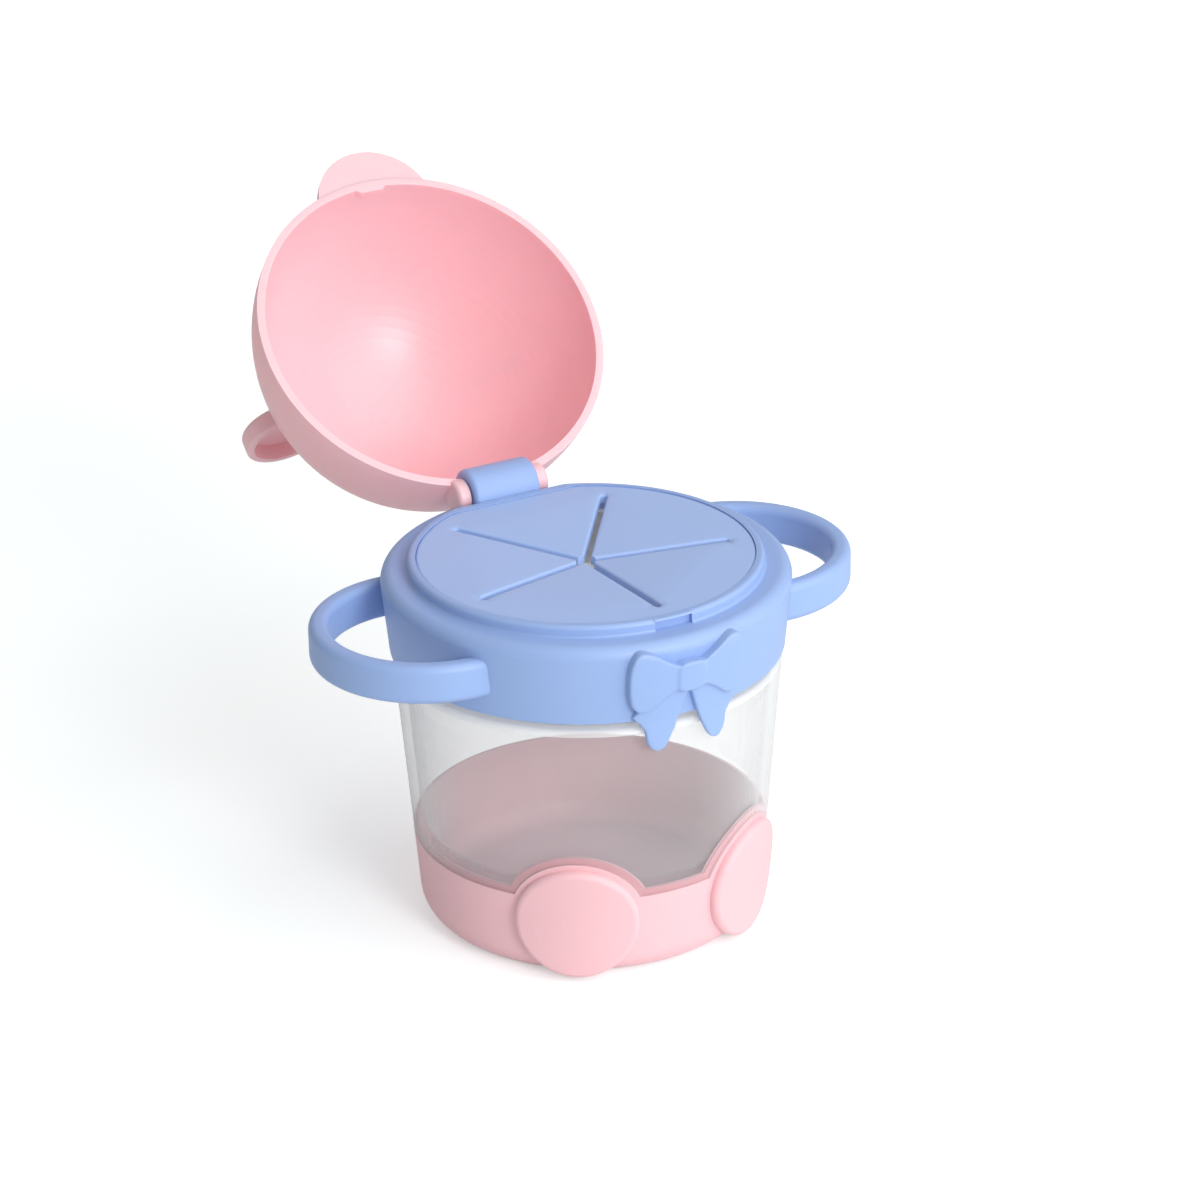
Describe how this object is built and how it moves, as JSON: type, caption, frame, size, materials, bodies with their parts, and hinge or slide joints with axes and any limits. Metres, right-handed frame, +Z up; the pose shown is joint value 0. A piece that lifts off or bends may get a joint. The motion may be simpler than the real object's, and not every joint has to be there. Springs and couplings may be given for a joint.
{
  "type": "toddler_snack_container",
  "caption": "Clear toddler snack cup with a soft boot, a screw collar with two loop handles and a bow, a slit membrane and a flip-up bear-shaped lid",
  "frame": {"origin": "centre of the base on the table", "axes": "Z up, the front with the bow faces -Y, the lid's hinge is at the back (+Y), X runs from the left handle to the right handle"},
  "size_m": [0.121, 0.1532, 0.1366],
  "materials": {
    "frosted_clear": "satin",
    "pink_silicone": "soft matte",
    "pink_plastic": "satin",
    "blue_plastic": "satin",
    "blue_silicone": "soft matte",
    "white_silicone": "soft matte"
  },
  "bodies": {
    "cup": {"cup": "frosted_clear", "boot": "pink_silicone", "foot_pad_left": "pink_silicone", "foot_pad_right": "pink_silicone"},
    "seal": {"seal_ring": "white_silicone"},
    "collar": {"collar": "blue_plastic", "handle_left": "blue_plastic", "handle_right": "blue_plastic", "bow": "blue_plastic", "membrane_rim": "blue_silicone"},
    "flap_1": {"flap_1": "blue_silicone"},
    "flap_2": {"flap_2": "blue_silicone"},
    "flap_3": {"flap_3": "blue_silicone"},
    "flap_4": {"flap_4": "blue_silicone"},
    "flap_5": {"flap_5": "blue_silicone"},
    "lid": {"lid": "pink_plastic", "ear_left": "pink_plastic", "ear_right": "pink_plastic", "muzzle": "pink_plastic"}
  },
  "joints": [
    {"name": "collar_lift", "type": "slide", "parent": "cup", "child": "seal", "axis": [0, 0, 1], "range_m": [0, 0.008]},
    {"name": "collar_turn", "type": "hinge", "parent": "seal", "child": "collar", "pos_m": [0, 0, 0.0746], "axis": [0, 0, 1], "range_deg": [0, 360]},
    {"name": "lid_hinge", "type": "hinge", "parent": "collar", "child": "lid", "pos_m": [0, 0.0394, 0.0802], "axis": [1, 0, 0], "range_deg": [0, 140]},
    {"name": "flap_1_bend", "type": "hinge", "parent": "collar", "child": "flap_1", "pos_m": [0, 0.02459, 0.0793], "axis": [1, 0, 0], "range_deg": [-50, 50], "stiffness_Nm_per_rad": 0.012},
    {"name": "flap_2_bend", "type": "hinge", "parent": "collar", "child": "flap_2", "pos_m": [-0.02339, 0.0076, 0.0793], "axis": [0.309, 0.9511, 0], "range_deg": [-50, 50], "stiffness_Nm_per_rad": 0.012},
    {"name": "flap_3_bend", "type": "hinge", "parent": "collar", "child": "flap_3", "pos_m": [-0.01446, -0.0199, 0.0793], "axis": [-0.809, 0.5878, 0], "range_deg": [-50, 50], "stiffness_Nm_per_rad": 0.012},
    {"name": "flap_4_bend", "type": "hinge", "parent": "collar", "child": "flap_4", "pos_m": [0.01446, -0.0199, 0.0793], "axis": [-0.809, -0.5878, 0], "range_deg": [-50, 50], "stiffness_Nm_per_rad": 0.012},
    {"name": "flap_5_bend", "type": "hinge", "parent": "collar", "child": "flap_5", "pos_m": [0.02339, 0.0076, 0.0793], "axis": [0.309, -0.9511, 0], "range_deg": [-50, 50], "stiffness_Nm_per_rad": 0.012}
  ],
  "couplings": [
    {"joint": "collar_lift", "follows": "collar_turn", "m_per_rad": 0.001273}
  ]
}
